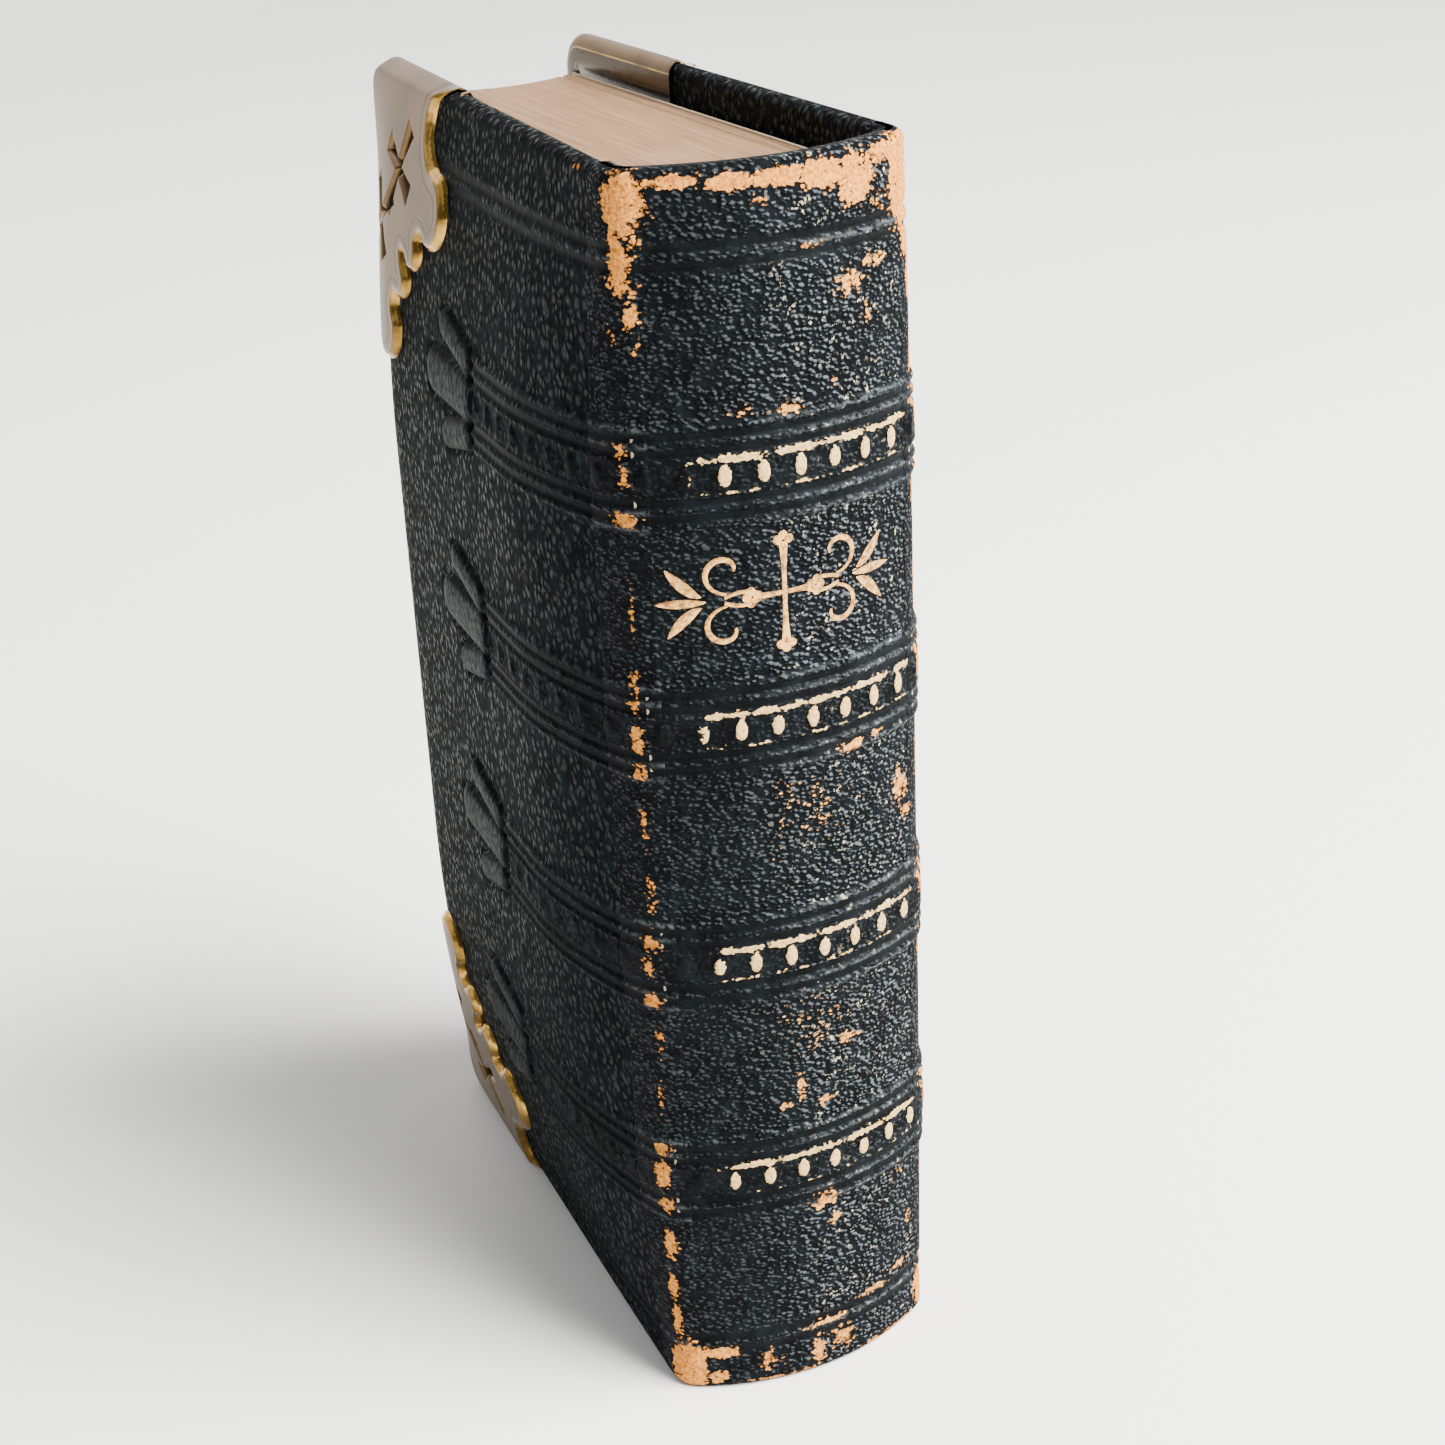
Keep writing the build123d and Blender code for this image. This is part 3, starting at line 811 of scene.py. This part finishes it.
def make_joint(side, name):
    """Outer leather from the spine round the ridge on to the cover, with an inner face."""
    t = np.linspace(0, 1, 33)[None, :]
    z = PROFILE[:, :1]
    inset = PROFILE[:, 1:]
    flat_z = np.clip(z, 0, HEIGHT)
    end_arc = side * (ARC_END - STRIP_SPINE)
    start = spine_point(end_arc, z, 0.0)
    angle = end_arc / SPINE_R
    leave = side * np.array([math.cos(angle), math.sin(angle), 0.0])
    w = pad(STRIP_COVER, flat_z)
    finish_point = cover_point(side, STRIP_COVER, z, w)
    slope = (pad(STRIP_COVER + 0.01, flat_z) - w) / 0.01
    arrive = cover_point(side, 1.0, z, slope) - cover_point(side, 0.0, z, 0.0)
    arrive = arrive / np.linalg.norm(arrive, axis=-1, keepdims=True)
    pull = (STRIP_SPINE + STRIP_COVER) * 0.38
    a, b = start, start + leave * pull
    c, d = finish_point - arrive * pull, finish_point
    t3 = t[..., None]
    curve = a * (1 - t3) ** 3 + 3 * b * t3 * (1 - t3) ** 2 + 3 * c * t3**2 * (1 - t3) + d * t3**3
    speed = 3 * (b - a) * (1 - t3) ** 2 + 6 * (c - b) * t3 * (1 - t3) + 3 * (d - c) * t3**2
    outward = np.stack([speed[..., 1], -speed[..., 0], 0 * speed[..., 0]], -1) * side
    outward = outward / np.linalg.norm(outward, axis=-1, keepdims=True)

    along = t * (STRIP_SPINE + STRIP_COVER) - STRIP_SPINE
    along, tall = np.broadcast_arrays(along, z)
    lines, flat = lines_relief(tall)
    arc = side * (ARC_END + along)
    roll, roll_flat, _ = roll_relief(np.where(along < 0, arc, along + 1.0), tall)
    seam = step(np.abs(along), 0.4, 1.6)
    sound = 1 - np.clip(inset / 0.5, 0, 1)
    roll_share = np.where(along < 0, 1.0, 0.75)
    height = (lines + roll * seam * roll_share) * sound
    wear, pale = wear_at(arc, tall)
    wear = wear * (1 - step(inset, 0.8, 1.1))
    height = height - 0.05 * step(wear, 0.5, 0.9)
    outer = curve + outward * (height - inset)[..., None]
    outer[..., 2] = tall
    inner = curve - outward * np.maximum(0.5, inset)[..., None]
    inner[..., 2] = tall
    rows, cols = along.shape
    faces = [grid_faces(rows, cols), grid_faces(rows, cols, rows * cols)[:, ::-1]]
    index = np.arange(rows * cols).reshape(rows, cols)
    for edge in (index[:, 0], index[:, -1]):
        below = edge + rows * cols
        faces.append(np.stack([edge[:-1], edge[1:], below[1:], below[:-1]], -1))
    grain = (1 - np.maximum(flat, roll_flat * seam) * sound) * np.ones_like(along)
    # painted highlight along the tooled crests
    rub_and_painted_highlight = 0.7 * crests(tall) * sound
    fields = {
        "grain": np.concatenate([grain.ravel(), np.ones(grain.size)]),
        "wear": np.concatenate([wear.ravel(), np.zeros(wear.size)]),
        "pale": np.concatenate([pale.ravel(), pale.ravel()]),
        "rub_and_painted_highlight": np.concatenate([rub_and_painted_highlight.ravel(), 0 * rub_and_painted_highlight.ravel()]),
        "glint_and_speck_share": np.full(2 * rub_and_painted_highlight.size, 0.4),
    }
    points = np.concatenate([outer.reshape(-1, 3), inner.reshape(-1, 3)])
    strip = make_piece(f"{name}_joint_leather", points, np.concatenate(faces), SPINE_LEATHER, fields)
    settle_normals(strip)
    from_spine = cover_point(side, -0.6, HEIGHT / 2, 0.0) * MM
    to_cover = cover_point(side, 1.6, HEIGHT / 2, 0.0) * MM
    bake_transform(strip)


# ---- brass corners ----

REACH = 27.0
LIP = 4.2
PLATE = 0.75
RIM = 0.35  # how far the brass stands outside the cover's edges
CROSSES = [((14.0, 8.4), (28, 125)), ((8.4, 14.0), (62, -35))]  # centre, arms' directions
ARM_HALF = (4.0, 4.9)


def scallops():
    """The plate's inner edge as arcs from the head to the diagonal, then mirrored. Each
    point is (distance from the fore-edge, distance from the head)."""
    r = REACH
    arcs = [
        ((r, 0.0), (r - 5.4, 3.8), (r - 1.6, 7.2)),
        ((r - 1.6, 7.2), (r + 0.9, 10.6), (r - 3.9, 14.3)),
        ((r - 3.9, 14.3), (r - 5.2, 13.5), (r - 6.4, 14.3)),
        ((r - 6.4, 14.3), (r - 6.5, 16.5), (r - 8.9, 17.4)),
        ((r - 8.9, 17.4), (r - 10.5, 16.2), (r - 10.9, r - 10.9)),
    ]
    half = np.concatenate([arc_points(*a) for a in arcs])
    return np.concatenate([half, half[::-1, ::-1]])


def arc_points(a, b, c, count=16):
    """Points on the circle through a, b and c, from a to c."""
    a, b, c = (complex(*p) for p in (a, b, c))
    ratio = (c - a) / (b - a)
    centre = (b - a) * (ratio - abs(ratio) ** 2) / (2j * ratio.imag) + a
    turn_b = np.angle((b - centre) / (a - centre))
    turn = np.angle((c - centre) / (a - centre))
    if turn_b * turn < 0 or abs(turn_b) > abs(turn):
        turn = turn - math.copysign(2 * math.pi, turn)
    spots = centre + (a - centre) * np.exp(1j * turn * np.linspace(0, 1, count))
    return np.stack([spots.real, spots.imag], -1)


def distance_to(line, x, y):
    """Distance from each (x, y) to an open run of points."""
    best = np.full(x.shape, 1e9)
    for (x0, y0), (x1, y1) in zip(line[:-1], line[1:]):
        dx, dy = x1 - x0, y1 - y0
        length = dx * dx + dy * dy
        if length < 1e-12:
            continue
        t = np.clip(((x - x0) * dx + (y - y0) * dy) / length, 0, 1)
        best = np.minimum(best, np.hypot(x - x0 - t * dx, y - y0 - t * dy))
    return best


def inside(polygon, x, y):
    odd = np.zeros(x.shape, bool)
    for (x0, y0), (x1, y1) in zip(polygon, np.roll(polygon, -1, axis=0)):
        crosses = (y0 > y) != (y1 > y)
        odd ^= crosses & (x < (x1 - x0) * (y - y0) / (y1 - y0 + 1e-12) + x0)
    return odd


def cross_distance(x, y):
    """Distance into the nearest pierced cross, positive inside: four arms that flare."""
    best = np.full(x.shape, -1e9)
    for centre, turns in CROSSES:
        dx, dy = x - centre[0], y - centre[1]
        for turn, half in zip(np.radians(turns), ARM_HALF):
            along = np.abs(dx * math.cos(turn) + dy * math.sin(turn))
            off = np.abs(-dx * math.sin(turn) + dy * math.cos(turn))
            width = 0.36 + 0.55 * (along / half) ** 1.6
            best = np.maximum(best, np.minimum(width - off, half - along))
    return best


def plate_distance(a, d):
    """Distance in from the scalloped edge or from a pierced cross."""
    edge = scallops()
    outline = np.concatenate([edge, [(-9, REACH), (-9, -9), (REACH, -9)]])
    long_edge = np.concatenate([[(REACH, -9)], edge, [(-9, REACH)]])
    scallop = distance_to(long_edge, a, d) * np.where(inside(outline, a, d), 1, -1)
    return scallop, -cross_distance(a, d)


def make_corner(side, end, name):
    """One brass corner: the pierced plate, its rolled rim and the lip inside the cover."""
    fine = 0.17
    ends = spread([(0.0, 1.5, 0.15), (1.5, REACH + 2.0, fine)])
    d_rows = ends
    limit = COVER_WIDTH + RIM - fore_limit(np.clip(d_rows - RIM, -RIM, None), RIM)
    share = ends / ends[-1]
    a = limit[:, None] + (ends[-1] - limit[:, None]) * share[None, :] - RIM
    d = np.repeat(d_rows[:, None], len(share), axis=1) - RIM
    scallop, cross = plate_distance(a, d)
    field = np.minimum(scallop, cross)

    # keep the cells inside, and draw their ragged border on to the true edge
    middle = 0.25 * (field[:-1, :-1] + field[1:, :-1] + field[:-1, 1:] + field[1:, 1:])
    keep = middle > 0
    cells = grid_faces(*field.shape)[keep.ravel()]
    touched_in = np.zeros(field.shape, bool)
    touched_out = np.zeros(field.shape, bool)
    for rows, cols in ((slice(None, -1), slice(None, -1)), (slice(1, None), slice(None, -1)),
                       (slice(None, -1), slice(1, None)), (slice(1, None), slice(1, None))):
        touched_in[rows, cols] |= keep
        touched_out[rows, cols] |= ~keep
    border = touched_in & touched_out
    small = 0.02
    for _ in range(2):
        here = np.minimum(*plate_distance(a, d))
        slope_a = (np.minimum(*plate_distance(a + small, d)) - here) / small
        slope_d = (np.minimum(*plate_distance(a, d + small)) - here) / small
        size = np.maximum(slope_a**2 + slope_d**2, 0.2)
        move = border & (np.abs(here) < 0.35)
        a = np.where(move, a - here * slope_a / size, a)
        d = np.where(move, d - here * slope_d / size, d)
    d = np.maximum(d, -RIM)
    scallop, cross = plate_distance(a, d)
    rim = np.clip(scallop, 0, 9)

    u, z = COVER_WIDTH - a, HEIGHT - d
    outer = edge_distance(u, z, RIM)
    half = EDGE / 2 + RIM
    swell = pad(np.clip(u, 0, COVER_WIDTH), np.clip(z, 0, HEIGHT))
    bevel = 0.25 + 0.75 * step(rim, 0.0, 0.7)
    cross_edge = 0.35 + 0.65 * step(np.clip(cross, 0, 9), 0.0, 0.3)
    thick = PLATE * bevel * cross_edge
    w = swell + roundover(outer, half) + thick * step(outer, 0.0, 1.0) + 0.1
    top = np.stack([u, z, w], -1).reshape(-1, 3)
    foot = np.stack([u, z, swell + roundover(outer, half) - 0.25], -1).reshape(-1, 3)

    faces = [tuple(c) for c in cells]
    count = len(top)
    edges = {}
    for face in faces:
        for i in range(4):
            pair = (face[i], face[(i + 1) % 4])
            edges[pair] = True
    first_row = set(range(field.shape[1]))
    first_col = set(range(0, field.size, field.shape[1]))
    points = [top, foot]
    painted_slot_shade = np.where(cross.ravel() < 0.2, 1.7, rim.ravel())  # painted shade on the walls of the pierced crosses, in the engraved line's dark colour
    rims = [rim.ravel(), painted_slot_shade]
    rim_pairs = []
    for p, q in edges:
        if (q, p) in edges:
            continue
        if (p in first_row and q in first_row) or (p in first_col and q in first_col):
            rim_pairs.append((p, q))
        else:
            faces.append((q, p, p + count, q + count))

    # the rolled rim and the lip inside: rings that follow the outer edge
    chain = longest_run(rim_pairs)
    loop_u, loop_z = top[chain, 0], top[chain, 1]
    grown_z = HEIGHT / 2 + (loop_z - HEIGHT / 2) * HEIGHT / (HEIGHT + 2 * RIM)
    inward = inward_normal(np.minimum(loop_u, COVER_WIDTH), grown_z)
    previous = np.array(chain)
    base = 2 * count
    for depth in (0.12, 0.3, 0.55, 0.85, half, half + 1.2, LIP, LIP + 0.02):
        level = -half + RIM - (half + roundover(np.full(len(chain), depth), half))
        if depth > LIP:
            level = level + 0.6
        ring_u = loop_u + inward[:, 0] * depth
        ring_z = loop_z + inward[:, 1] * depth
        points.append(np.stack([ring_u, ring_z, level], -1))
        # the rolled rim keeps the face colour (3.0); from half way down the lip it is -1, painted near black as
        # painted shade inside the cover, and between the two the colour passes through the gold, a thin painted
        # highlight along the lip
        rims.append(np.full(len(chain), 3.0 if depth < half else -1.0))
        ring = base + np.arange(len(chain))
        for i in range(len(chain) - 1):
            faces.append((previous[i], previous[i + 1], ring[i + 1], ring[i]))
        previous = ring
        base += len(chain)

    points = np.concatenate(points)
    rims = np.concatenate(rims)
    used = np.unique(np.concatenate([np.array(f) for f in faces]))
    renumber = np.full(len(points), -1)
    renumber[used] = np.arange(len(used))
    faces = [tuple(renumber[list(f)]) for f in faces]
    points, rims = points[used], rims[used]
    z = points[:, 1] if end > 0 else HEIGHT - points[:, 1]
    z = np.clip(z, -0.0, HEIGHT + 0.0) if end < 0 else z
    placed = cover_point(side, points[:, 0], z, points[:, 2])
    plate = make_piece(f"{name}_plate", placed, faces, BRASS, {"rim": rims})
    settle_normals(plate)
    cover = name.split("_")[0]
    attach(plate, f"{cover}_cover")
    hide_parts(name)


def longest_run(pairs):
    """Joins directed edges into runs of points and returns the longest."""
    after = dict(pairs)
    best = []
    for start in sorted(set(after) - set(after.values())):
        run = [start]
        while run[-1] in after:
            run.append(after[run[-1]])
        best = max(best, run, key=len)
    return best


# ---- gilt ornament on the spine ----

ORNAMENT_Z = 83.2
ORNAMENT_ARC = -1.4


def ribbon(path, width, lift=0.07):
    """A flat gilt line along (arc, z) points, widths in millimetres."""
    path = np.asarray(path, float) + (ORNAMENT_ARC, 0)
    tangent = np.gradient(path, axis=0)
    tangent /= np.linalg.norm(tangent, axis=1, keepdims=True)
    normal = np.stack([-tangent[:, 1], tangent[:, 0]], -1)
    width = np.broadcast_to(width, len(path))[:, None]
    sides = [path + normal * width / 2, path + normal * 0.0, path - normal * width / 2]
    lifts = [0.0, lift, 0.0]
    rows = [spine_point(s[:, 0], s[:, 1], 0.03 + h) for s, h in zip(sides, lifts)]
    return np.stack(rows, 1)


def make_ornament():
    """A small budded cross between leafy scrolls, in place of any lettering."""
    t = np.linspace(0, 1, 40)
    strokes = []
    for x in (-1, 1):
        for y in (-1, 1):
            turn = t * 1.5 * math.pi
            reach = 2.3 * (1 - 0.72 * t)
            scroll = np.stack([x * (5.2 + reach * np.sin(turn)), ORNAMENT_Z + y * (2.6 - reach * np.cos(turn) * 0.9)], -1)
            strokes.append((scroll, 0.22 + 0.3 * np.sin(math.pi * t)))
            stem = np.stack([x * (2.2 + 3.2 * t), ORNAMENT_Z + y * (0.25 + 0.35 * np.sin(math.pi * t))], -1)
            strokes.append((stem, 0.34))
            leaf = np.stack([x * (7.4 + 3.0 * t), ORNAMENT_Z + y * (0.5 + 2.6 * t**1.4)], -1)
            strokes.append((leaf, 0.9 * np.sin(math.pi * t) ** 0.8 + 0.06))
        tip = np.stack([x * (7.0 + 4.4 * t), ORNAMENT_Z + 0 * t], -1)
        strokes.append((tip, 0.75 * np.sin(math.pi * t) ** 0.8 + 0.06))
    for x, y in ((1, 0), (-1, 0), (0, 1), (0, -1)):
        length = 4.6 if y else 2.9
        arm = np.stack([x * length * t, ORNAMENT_Z + y * length * t], -1)
        strokes.append((arm, 0.42 + 0.5 * t**3))
        for bud in (-1, 0, 1):
            angle = math.atan2(y, x) + bud * 1.25
            centre = (x * length + 0.55 * math.cos(angle), ORNAMENT_Z + y * length + 0.55 * math.sin(angle))
            spot = np.stack([centre[0] + 0.42 * np.cos(angle) * (2 * t - 1), centre[1] + 0.42 * np.sin(angle) * (2 * t - 1)], -1)
            strokes.append((spot, 0.8 * np.sqrt(np.clip(1 - (2 * t - 1) ** 2, 0, 1)) + 0.02))
    points, faces, base = [], [], 0
    for path, width in strokes:
        strip = ribbon(path, width)
        points.append(strip.reshape(-1, 3))
        faces.append(grid_faces(len(path), 3, base))
        base += strip.shape[0] * 3
    piece = make_piece("gilt_ornament", np.concatenate(points), np.concatenate(faces), GILT)
    settle_outward(piece)
    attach(piece, "text_block")


def settle_outward(piece):
    """Turns every face of a thin decoration on the spine to look toward -Y."""
    for polygon in piece.data.polygons:
        if polygon.normal.y > 0:
            polygon.flip()
    piece.data.update()


# ---- the CAD nodes that stay ----


def dress_nodes():
    pages = page_material()
    card = paper_material("pasteboard", (0.20, 0.16, 0.11), (0.36, 0.29, 0.20))
    # The pastedowns are painted near black, as painted shade on the inner faces of the covers.
    endpaper = paper_material("endpaper", (0.012, 0.014, 0.016), (0.03, 0.032, 0.034), 240.0)
    flyleaf = paper_material("flyleaf_paper", *PAPER_TONES, 60.0)
    kraft = paper_material("kraft", (0.24, 0.15, 0.08), (0.38, 0.26, 0.15))
    wadding = woven_material("wadding", (0.42, 0.39, 0.33), (0.74, 0.71, 0.64), 0.8)
    mull = woven_material("mull", (0.30, 0.26, 0.19), (0.62, 0.57, 0.46), 0.7)
    endband = woven_material("endband", (0.20, 0.12, 0.07), (0.55, 0.42, 0.28), 0.6)
    thread = woven_material("thread", (0.42, 0.36, 0.26), (0.72, 0.66, 0.54), 0.3)
    finishes = [
        ("section", pages), ("flyleaf", flyleaf), ("pastedown", endpaper), ("board", card),
        ("infill", card), ("false_band", card), ("padding", wadding), ("hollow", kraft),
        ("mull", mull), ("endband", endband), ("cords", thread), ("kettle", thread),
    ]
    for name, node in frame["nodes"].items():
        for word, material in finishes:
            if word in name:
                node.data.materials.clear()
                node.data.materials.append(material)
                break


# ---- studio ----


def make_floor():
    """A floor that curves up into a plain backdrop."""
    back, radius, tall, wide = 900.0, 500.0, 1800.0, 4000.0
    turns = np.radians(np.linspace(0, 90, 25))
    line = [(-3000.0, 0.0)] + [(back + radius * math.sin(t), radius * (1 - math.cos(t))) for t in turns]
    line.append((back + radius, tall))
    line = np.array(line)
    x = np.array([-wide, -wide / 3, wide / 3, wide])
    grid_x, grid_y = np.meshgrid(x, line[:, 0])
    grid_z = np.repeat(line[:, 1:], len(x), axis=1)
    points = np.stack([grid_x, grid_y, grid_z], -1)
    floor = make_piece("studio_floor", points, grid_faces(*grid_x.shape), floor_material(), None, (0, 0, 1))


def add_light(name, place, target, size, power, colour):
    light = bpy.data.lights.new(name, "AREA")
    light.shape = "RECTANGLE"
    light.size, light.size_y = size
    light.energy = power
    light.color = colour
    lamp = bpy.data.objects.new(name, light)
    bpy.context.scene.collection.objects.link(lamp)
    direction = np.subtract(target, place)
    import mathutils
    lamp.location = place
    lamp.rotation_euler = mathutils.Vector(direction).to_track_quat("-Z", "Y").to_euler()


def make_studio():
    make_floor()
    world = bpy.data.worlds.new("studio")
    world.use_nodes = True
    background = world.node_tree.nodes["Background"]
    background.inputs["Color"].default_value = (0.93, 0.96, 1.0, 1.0)
    background.inputs["Strength"].default_value = 0.28
    bpy.context.scene.world = world
    middle = (0, 0, HEIGHT / 2 * MM)
    add_light("window", (0.52, -0.52, 0.84), middle, (0.8, 0.8), 92.0, (1.0, 0.985, 0.96))
    add_light("back_wash", (-0.1, 1.0, 1.1), (0, 0.5, 0), (1.3, 0.7), 6.0, (1.0, 0.99, 0.97))
    add_light("fill", (-0.9, 0.3, 0.5), middle, (0.6, 0.9), 1.5, (0.95, 0.97, 1.0))


def make_camera():
    """The photograph's standpoint: above the spine, to the rear cover's side."""
    place = np.array([-91.0, JOINT_Y - 180.2, 160.9])
    heading, dip, roll = math.radians(25.29), math.radians(24.44), math.radians(-2.75)
    forward = np.array([
        math.sin(heading) * math.cos(dip), math.cos(heading) * math.cos(dip), -math.sin(dip),
    ])
    right = np.cross(forward, (0, 0, 1))
    right /= np.linalg.norm(right)
    up = np.cross(right, forward)
    right, up = (
        math.cos(roll) * right + math.sin(roll) * up,
        math.cos(roll) * up - math.sin(roll) * right,
    )
    camera_data = bpy.data.cameras.new("camera")
    camera_data.lens = 61.8
    camera_data.sensor_width = 36.0
    camera_data.clip_start = 0.01
    camera = bpy.data.objects.new("camera", camera_data)
    bpy.context.scene.collection.objects.link(camera)
    import mathutils
    turn = mathutils.Matrix([[right[i], up[i], -forward[i]] for i in range(3)])
    camera.matrix_world = mathutils.Matrix.Translation(place * MM) @ turn.to_4x4()
    bpy.context.scene.camera = camera


make_spine()
for side, name in ((1, "front"), (-1, "rear")):
    make_cover(side, name)
    make_joint(side, name)
    for end, where in ((1, "head"), (-1, "tail")):
        make_corner(side, end, f"{name}_{where}_corner")
make_ornament()
dress_nodes()
make_studio()
make_camera()
